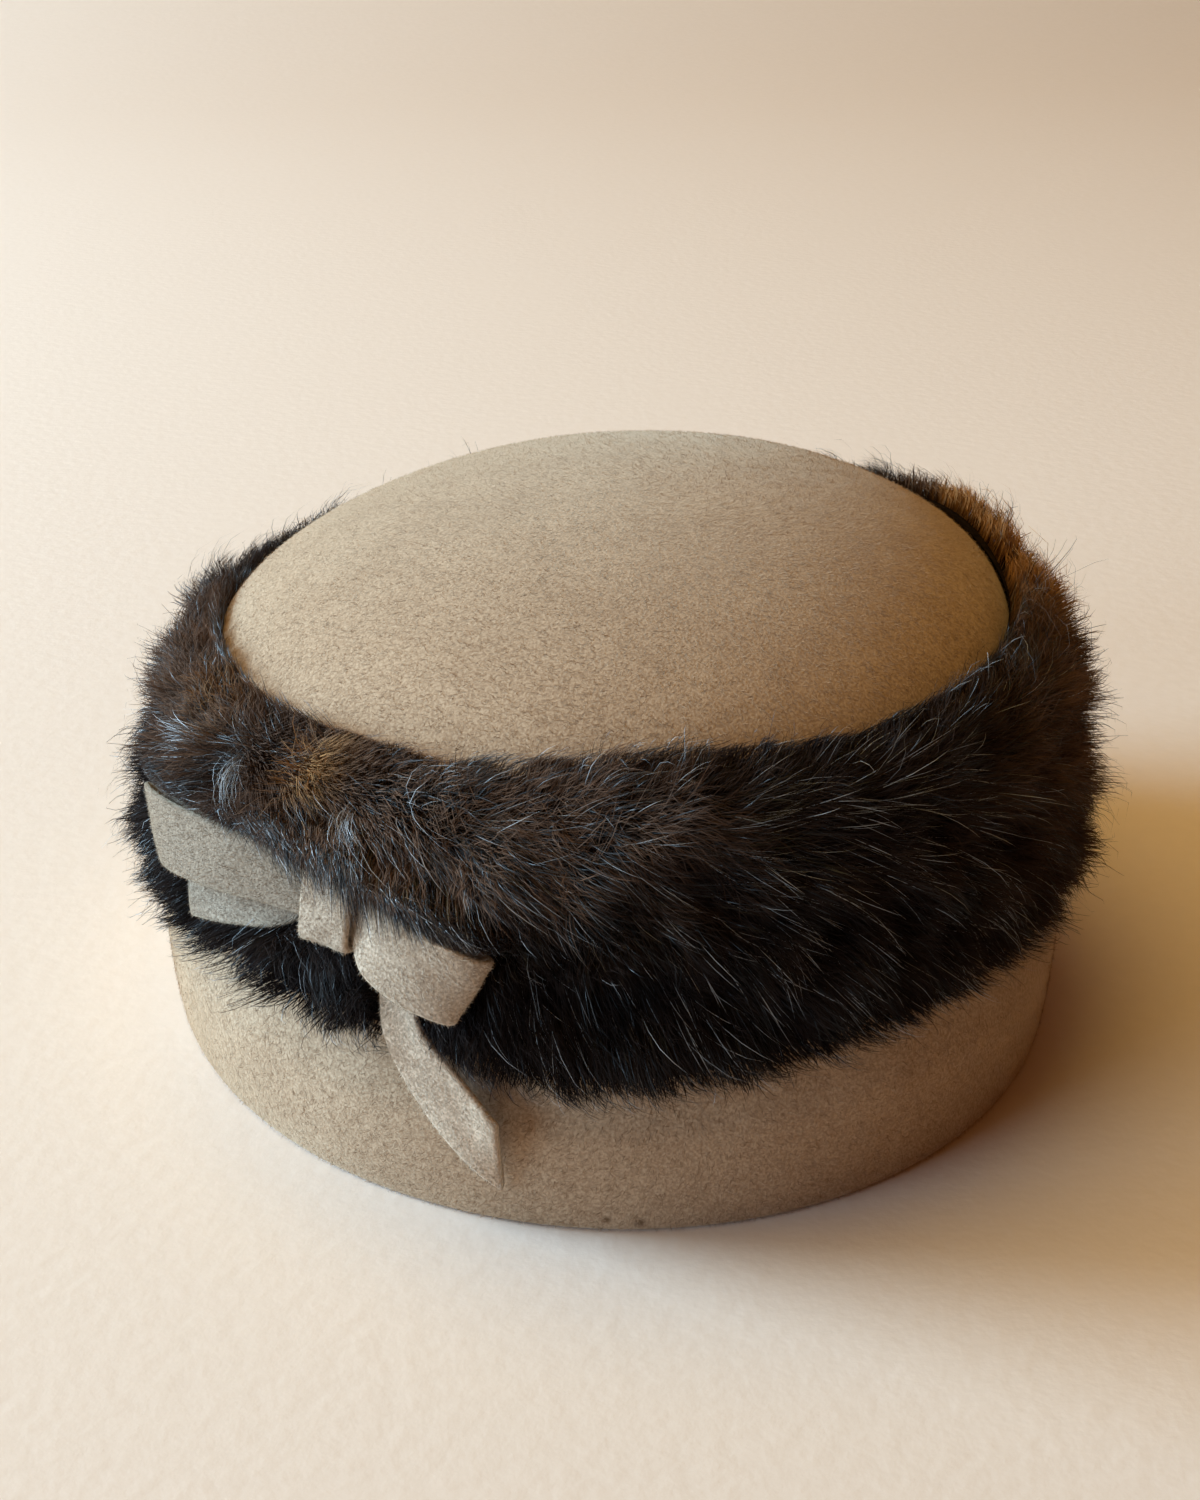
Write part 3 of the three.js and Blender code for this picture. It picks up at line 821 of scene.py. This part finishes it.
UNDERFUR = HairKind(travel=4.4, clump=4.2, gather=0.40, lift=5.0, wild=20, steps=3, width=0.17)
GOLD = HairKind(travel=4.0, clump=8.0, gather=0.0, lift=5.4, wild=6, steps=3, width=0.15)
GUARD = HairKind(travel=10.5, clump=5.0, gather=0.35, lift=5.6, wild=12, steps=5, width=0.12)
WISPS = HairKind(travel=9.5, clump=6.0, gather=0.20, lift=7.0, wild=22, steps=5, width=0.11)
GLINTS = HairKind(travel=10.0, clump=6.0, gather=0.20, lift=6.0, wild=12, steps=5, width=0.085)
FRINGE = HairKind(travel=12.0, clump=4.5, gather=0.30, lift=5.0, wild=12, steps=6, width=0.12)
CREST = HairKind(travel=4.0, clump=5.0, gather=0.30, lift=9.0, wild=30, steps=5, width=0.10)

# How much hair differs within a kind, and how far single hairs run past the pelt's edges, in millimetres.
CLUMP_CROWDING, CLUMP_SPREAD = 1.7, 0.55
CLUMP_LENGTH, HAIR_LENGTH = (0.75, 1.2), (0.7, 1.15)
CLUMP_LIFT, HAIR_LIFT = (0.6, 1.35), (0.7, 1.3)
CREST_LOSS = 0.32
HAIR_WILD = 0.45
PAST_FOOT, PAST_CREST = (2.5, 6.5), (1.5, 4.5)
ROOT_DEPTH = 0.3


def hair_paths(random, count, kind, region):
    """Hairs in clumps that lie along the nap: azimuth, place up the pelt and height over its face."""
    first_turn, last_turn, lowest, highest = region
    space = (last_turn - first_turn) * (highest - lowest) * PELT_WIDTH
    clumps = int(CLUMP_CROWDING * space / kind.clump ** 2)
    clump_turn = random.uniform(first_turn, last_turn, clumps)
    clump_run = random.uniform(lowest, highest, clumps) * PELT_WIDTH
    clump_bend = random.normal(0, kind.wild, clumps)
    clump_long = random.uniform(*CLUMP_LENGTH, clumps)
    clump_lift = random.uniform(*CLUMP_LIFT, clumps)
    of = random.integers(0, clumps, count)
    off_along, off_up = random.normal(0, kind.clump * CLUMP_SPREAD, (2, count))
    turn = clump_turn[of]
    azimuth = SEAM_AZIMUTH + turn + off_along / mm_per_degree(SEAM_AZIMUTH + turn)
    run = np.clip(clump_run[of] + off_up, 0.3, PELT_WIDTH - 0.2)
    bend = clump_bend[of] + random.normal(0, kind.wild * HAIR_WILD, count)
    slope = np.radians(nap_slope(wrapped(azimuth), run / PELT_WIDTH) + bend)
    lay = np.stack([nap_along(turn) * np.cos(slope), np.sin(slope)])
    lay /= np.hypot(*lay)
    reach = kind.travel * clump_long[of] * random.uniform(*HAIR_LENGTH, count)
    reach = (reach * (1 - 0.6 * hollow(azimuth, run, *SHORT_BESIDE_BOW)))[:, None]
    t = np.linspace(0, 1, kind.steps)[None]
    forward = reach * (0.55 * t + 0.45 * t ** 2)
    pull = kind.gather * t ** 1.5
    aside = lay[0][:, None] * forward - off_along[:, None] * pull
    path_azimuth = azimuth[:, None] + aside / mm_per_degree(azimuth)[:, None]
    path_run = run[:, None] + lay[1][:, None] * forward - off_up[:, None] * pull
    path_run = held_to_pelt(random, path_run)
    rise = kind.lift * clump_lift[of] * tuft_height(azimuth, run) * (1 - CREST_LOSS * run / PELT_WIDTH)
    rise *= random.uniform(*HAIR_LIFT, count)
    return wrapped(path_azimuth), path_run, arched(rise, t)


def held_to_pelt(random, path_run):
    """Draws in hair that runs past the pelt's edges, each hair to a few millimetres of its own."""
    hang = random.uniform(*PAST_FOOT, len(path_run))[:, None]
    below = np.minimum(path_run, 0)
    path_run = np.maximum(path_run, 0) - hang * (1 - np.exp(below / hang))
    crest = random.uniform(*PAST_CREST, len(path_run))[:, None]
    above = np.maximum(path_run - PELT_WIDTH, 0)
    return np.minimum(path_run, PELT_WIDTH) + crest * (1 - np.exp(-above / crest))


def arched(rise, t):
    """Heights along hairs that stand up from their roots and bend over."""
    return rise[:, None] * np.sin(np.pi / 2 * np.minimum(t * 1.25, 1)) - ROOT_DEPTH


# Hair from above that falls over the bow: azimuth, height of the bow's upper edge and fall below it.
BOW_FRINGE = np.array([
    (-163, 61.0, 0.5),
    (-150, 64.0, 2.5),
    (-140, 65.5, 6.5),
    (-134, 65.5, 9.0),
    (-130, 65.5, 11.0),
    (-126, 63.0, 12.0),
    (-122, 61.0, 9.0),
    (-118, 59.0, 5.5),
    (-113, 56.0, 1.5),
])


def near_bow(path_azimuth, path_run):
    """Height and standoff of the fur's face along hairs, and the bow's depth, front and back there."""
    height, standoff = fur_section(path_azimuth, np.clip(path_run + PELT_START, 0, SECTION_RUN[-1]))
    return height, standoff, *bow_depth(path_azimuth, height)


def comb_round_bow(random, path_azimuth, path_run, extra):
    """Lifts and trims hair that falls over the bow, and presses down hair that runs under it."""
    near = np.flatnonzero((path_azimuth.min(1) < BOW_TO) & (path_azimuth.max(1) > BOW_FROM))
    spot, run = path_azimuth[near], path_run[near]
    height, _, depth, _, _ = near_bow(spot, run)
    upper = np.interp(spot, BOW_FRINGE[:, 0], BOW_FRINGE[:, 1])
    fall = np.interp(spot[:, -1], BOW_FRINGE[:, 0], BOW_FRINGE[:, 2]) * random.uniform(0.35, 1.0, len(near))
    from_above = height[:, 0] > upper[:, 0] - 0.8
    drop = np.maximum(height[:, 0] - height[:, -1], 0.1)
    allowed = height[:, 0] - (upper[:, -1] - fall)
    trim = np.where(from_above & (depth > -1.2).any(1), np.clip(allowed / drop, 0.1, 1), 1)[:, None]
    spot = spot[:, :1] + (spot - spot[:, :1]) * trim
    run = run[:, :1] + (run - run[:, :1]) * trim
    height, standoff, depth, front, back = near_bow(spot, run)
    needed = (front + 0.5 - standoff) * ease(depth, -6.5, -1.2)
    for k in range(needed.shape[1] - 1, 0, -1):
        needed[:, k - 1] = np.maximum(needed[:, k - 1], 0.6 * needed[:, k])
    needed[:, 0] = -FAR_OFF
    lifted = np.maximum(extra[near], needed)
    pressed = np.minimum(extra[near], np.maximum(back - 0.3 - standoff, -ROOT_DEPTH))
    path_azimuth[near], path_run[near] = spot, run
    extra[near] = np.where(from_above[:, None], lifted, pressed)


def ribbons(points, out, widths, roll):
    """Tapered ribbons along rows of points, turned about their own length by roll."""
    count, steps = points.shape[:2]
    tangent = unit(np.gradient(points, axis=1))
    flat = unit(np.cross(tangent, out))
    edge = flat * np.cos(roll)[:, None, None] + np.cross(tangent, flat) * np.sin(roll)[:, None, None]
    taper = np.linspace(1, 0, steps) ** 0.55
    half = (edge * (widths[:, None] * taper / 2)[..., None])[:, :-1]
    stem = points[:, :-1]
    sides = np.stack([stem - half, stem + half], 2).reshape(count, -1, 3)
    corners = np.concatenate([sides, points[:, -1:]], 1)
    each = corners.shape[1]
    pattern = []
    for i in range(0, each - 3, 2):
        pattern += [(i, i + 1, i + 3), (i, i + 3, i + 2)]
    pattern.append((each - 3, each - 2, each - 1))
    triangles = (np.array(pattern)[None] + (np.arange(count) * each)[:, None, None]).reshape(-1, 3)
    along = np.concatenate([np.repeat(np.linspace(0, 1, steps)[:-1], 2), [1]])
    return corners.reshape(-1, 3), triangles, np.tile(along, count), each


# Tufts of hair above the bow, pale as a painted glint: azimuth and place up the pelt of the roots and of
# the tips.
PAINTED_GLINT_TUFTS = [
    (-157.5, 36.5, -164.0, 33.0),
    (-149.5, 39.0, -143.5, 30.0),
    (-131.0, 37.5, -127.0, 30.5),
]


def tuft_paths(random, hairs, steps):
    """Hairs of the tufts with a painted glint, which fan out towards their tips."""
    azimuth, run, tip_azimuth, tip_run = np.repeat(np.array(PAINTED_GLINT_TUFTS), hairs, 0).T
    count = len(run)
    t = np.linspace(0, 1, steps)[None]
    long = random.uniform(0.5, 1.15, count)
    turn = (tip_azimuth - azimuth + random.normal(0, 1.3, count)) * long
    climb = (tip_run - run + random.normal(0, 1.6, count)) * long
    path_azimuth = (azimuth + random.normal(0, 0.7, count))[:, None] + turn[:, None] * t
    path_run = (run + random.normal(0, 1.0, count))[:, None] + climb[:, None] * t
    return path_azimuth, path_run, arched(random.uniform(5, 8, count), t)


def hair_piece(name, material, seed, paths, width, tone, share_kept):
    """A piece of the fur: paths makes its hairs, and share_kept thins them out from place to place."""
    random = np.random.default_rng(seed)
    path_azimuth, path_run, extra = paths(random)
    comb_round_bow(random, path_azimuth, path_run, extra)
    keep = random.random(len(extra)) < share_kept(path_azimuth[:, 0], path_run[:, 0])
    path_azimuth, path_run, extra = path_azimuth[keep], path_run[keep], extra[keep]
    points = fur_point(path_azimuth, path_run, extra)
    out = fur_out(path_azimuth, np.clip(path_run + PELT_START, 0, SECTION_RUN[-1]))
    number = len(points)
    roll = random.normal(0, 0.7, number)
    widths = width * random.uniform(0.6, 1.3, number)
    corners, triangles, along, each = ribbons(points, out, widths, roll)
    tones = tone(random, path_azimuth[:, 0], path_run[:, 0])
    values = {"along": along, "tone": np.repeat(tones, each)}
    return on_hat(mesh_piece(name, corners, triangles, material, True, values), "fur")


def warmth(azimuth, run):
    """Where golden-brown underfur shows: at the seam, behind it, and along the crest at the right."""
    turn = (azimuth - SEAM_AZIMUTH) % 360
    share = run / PELT_WIDTH
    seam = bump(wrapped(turn), -0.5, 3.4) * bump(share, 0.84, 0.13) * 0.36
    behind = bump(turn, 338, 7) * bump(share, 0.88, 0.10) * 0.25
    right = bump(turn, 138, 15) * ease(share, 0.72, 0.9) * 1.5
    return seam + behind + right


def brown_and_painted_shade(azimuth, run):
    """Brown along the crest on both sides of the seam and at the right; low on the band it falls to nearly
    black, painted shade under the upper hair.
    """
    turn = (azimuth - SEAM_AZIMUTH) % 360
    share = run / PELT_WIDTH
    seam = 1.3 * bump(turn, 17, 24) + 0.75 * bump(turn, 330, 35)
    right = bump(turn, 124, 32) * (0.4 + 0.6 * ease(share, 0.2, 0.6))
    # The fall towards the foot of the band is painted shade where the upper hair shades the lower.
    return seam * ease(share, 0.42, 0.8) + right


# Dark hair's own tone and how far it differs, and the most that brown alone lightens underfur.
DARK_TONE = (0.012, 0.012)
MOST_BROWN = 0.36


def under_tone(random, azimuth, run):
    """Underfur goes from nearly black through brown to gold, with painted shade in the hollow above the
    loop and in the tufts' low places, and painted light on the tufts' tops.
    """
    # The tufts make hair on their tops lighter and in their low places darker: painted light and shade.
    spread = random.normal(1, 0.2, len(run)) + 0.5 * tufts(azimuth, run)
    # Painted shade in the hollow above the loop.
    spread *= 1 - 0.8 * hollow(azimuth, run, *PAINTED_SHADE_ABOVE_LOOP)
    brown = np.clip((0.02 + 0.42 * brown_and_painted_shade(azimuth, run)) * spread, 0, MOST_BROWN)
    return np.clip(brown + warmth(azimuth, run) * spread, 0, 1)


def guard_tone(random, azimuth, run):
    """Nearly all guard hairs are dark, less so where the fur is brown; a few are pale, a painted glint."""
    dark = np.clip(random.normal(*DARK_TONE, len(run)), 0, 1)
    dark += 0.14 * random.random(len(run)) * np.minimum(brown_and_painted_shade(azimuth, run), 1)
    return np.where(random.random(len(run)) < 0.012, random.uniform(0.2, 0.7, len(run)), dark)


# Pale tones for glinting hair: a painted highlight in the hair's colour.
def painted_glint_tone(random, azimuth, run):
    return random.uniform(0.5, 1.0, len(run))


def fringe_tone(random, azimuth, run):
    """Of the hair that falls over the bow or stands up along the crest, about one in six is pale, a painted
    glint.
    """
    dark = np.clip(random.normal(*DARK_TONE, len(run)), 0, 1)
    return np.where(random.random(len(run)) < 0.16, random.uniform(0.2, 0.9, len(run)), dark)


def everywhere(azimuth, run):
    return np.ones(len(run))


def off_gold(azimuth, run):
    return 1 - 2.2 * warmth(azimuth, run)


def off_brown(azimuth, run):
    return off_gold(azimuth, run) - 0.15 * brown_and_painted_shade(azimuth, run)


# Tones from dark hair to light, as place and colour.
BROWN_TONES = [
    (0.0, (0.014, 0.010, 0.010)),
    (0.35, (0.190, 0.110, 0.074)),
    (1.0, (0.620, 0.310, 0.110)),
]
# Guard hair: dark at 0, up to a pale grey at 1 that is a painted glint, the lamps' reflection put into the
# hair's colour.
DARK_TO_PAINTED_GLINT_TONES = [
    (0.0, (0.012, 0.011, 0.012)),
    (1.0, (0.80, 0.82, 0.85)),
]
HAIRS_IN_TUFT, TUFT_STEPS, TUFT_HAIR_WIDTH = 45, 6, 0.09


def fur_band():
    """The pelt and every piece of hair on it."""
    fur_pelt(pelt_material())
    under = hair_material("fur_under", BROWN_TONES, roughness=0.8, specular=0.05)
    guard = hair_material("fur_guard", DARK_TO_PAINTED_GLINT_TONES, roughness=0.32, specular=0.2)

    def grow(name, material, seed, count, kind, tone, share_kept, region=WHOLE_BAND):
        def paths(random):
            return hair_paths(random, count, kind, region)
        hair_piece(name, material, seed, paths, kind.width, tone, share_kept)

    def painted_glint_tufts(random):
        return tuft_paths(random, HAIRS_IN_TUFT, TUFT_STEPS)

    for letter, seed in zip("abc", (11, 12, 13)):
        grow("fur_under_" + letter, under, seed, 52000, UNDERFUR, under_tone, everywhere)
    grow("fur_gold", under, 15, 6000, GOLD, under_tone, everywhere, BY_SEAM)
    grow("fur_guard", guard, 21, 24000, GUARD, guard_tone, off_brown)
    grow("fur_wisps", under, 31, 6000, WISPS, under_tone, everywhere)
    # Glints: thin hairs whose pale colour is a painted highlight.
    grow("fur_glints", guard, 41, 1000, GLINTS, painted_glint_tone, off_gold)
    grow("fur_glints_front", guard, 43, 650, GLINTS, painted_glint_tone, off_gold, FRONT)
    grow("fur_fringe", guard, 51, 2600, FRINGE, fringe_tone, off_gold, ABOVE_BOW)
    grow("fur_crest", guard, 71, 700, CREST, fringe_tone, everywhere, FRONT_EDGE)
    # Tufts of hair whose pale colour is a painted glint.
    hair_piece("fur_painted_glint_tufts", guard, 61, painted_glint_tufts, TUFT_HAIR_WIDTH, painted_glint_tone, everywhere)


# Floor, light and camera

CAMERA_TURN = 0.16
CAMERA_RISE = math.radians(25.23)
CAMERA_DISTANCE = 444.6
CAMERA_TARGET = (-1.68, 0.27, 43.9)
LENS = 52.8
FLOOR_SIZE, FLOOR_CELLS = 9, 90
SWEEP_START, SWEEP_RISE = 1.1, 0.45
LIGHTS_AIM = Vector((0, 0, 0.05))
DAYLIGHT, LAMPLIGHT = (0.50, 0.77, 1.0), (1.0, 0.70, 0.25)


def floor():
    """A level floor that sweeps gently up into a backdrop well behind the hat."""
    bpy.ops.mesh.primitive_grid_add(x_subdivisions=FLOOR_CELLS, y_subdivisions=FLOOR_CELLS, size=FLOOR_SIZE)
    ground = bpy.context.object
    ground.name = "floor"
    for vertex in ground.data.vertices:
        vertex.co.z = SWEEP_RISE * max(vertex.co.y - SWEEP_START, 0) ** 2
    ground.data.polygons.foreach_set("use_smooth", np.ones(len(ground.data.polygons), bool))
    ground.data.materials.append(floor_material())


def area_light(name, place, size, power, colour):
    """A round lamp, in metres and watts, that points at the hat."""
    light = bpy.data.lights.new(name, "AREA")
    light.shape = "DISK"
    light.size = size
    light.energy = power
    light.color = colour
    lamp = bpy.data.objects.new(name, light)
    lamp.location = place
    lamp.rotation_euler = (LIGHTS_AIM - Vector(place)).to_track_quat("-Z", "Y").to_euler()
    bpy.context.scene.collection.objects.link(lamp)


def lights():
    """A wide, cool window along the left, a warm ceiling and a faint warm room."""
    world = bpy.data.worlds.new("warm_room")
    world.use_nodes = True
    background = world.node_tree.nodes["Background"]
    background.inputs["Color"].default_value = (1.0, 0.40, 0.12, 1)
    background.inputs["Strength"].default_value = 0.10
    bpy.context.scene.world = world
    area_light("window_front", (-1.90, -0.80, 0.50), size=1.0, power=20, colour=DAYLIGHT)
    area_light("window_back", (-1.90, 0.66, 0.62), size=1.0, power=92, colour=DAYLIGHT)
    area_light("ceiling", (-0.9, 0.4, 2.8), size=3.0, power=45, colour=LAMPLIGHT)
    bpy.context.scene.view_settings.view_transform = "Standard"


def camera():
    """The photograph's camera."""
    data = bpy.data.cameras.new("camera")
    data.lens = LENS
    data.sensor_width = 36
    cam = bpy.data.objects.new("camera", data)
    flat = math.cos(CAMERA_RISE)
    back = Vector((-math.sin(CAMERA_TURN) * flat, -math.cos(CAMERA_TURN) * flat, math.sin(CAMERA_RISE)))
    cam.location = (Vector(CAMERA_TARGET) + back * CAMERA_DISTANCE) * MM
    cam.rotation_euler = (-back).to_track_quat("-Z", "Y").to_euler()
    data.clip_start = 0.01
    bpy.context.scene.collection.objects.link(cam)
    bpy.context.scene.camera = cam


# The scene

camera()
lights()
floor()
felt_body(felt_material("velour_felt", BODY_TONES, BODY_CLOUDS))
felt_nap(nap_material("felt_nap", BODY_TONES), count=110000, seed=3)
strips = [bow_strip(name, rows) for name, rows in BOW_STRIPS.items()]
bow_nap(strips, nap_material("bow_fibre", BOW_TONES), count=40000, seed=5)
fur_band()
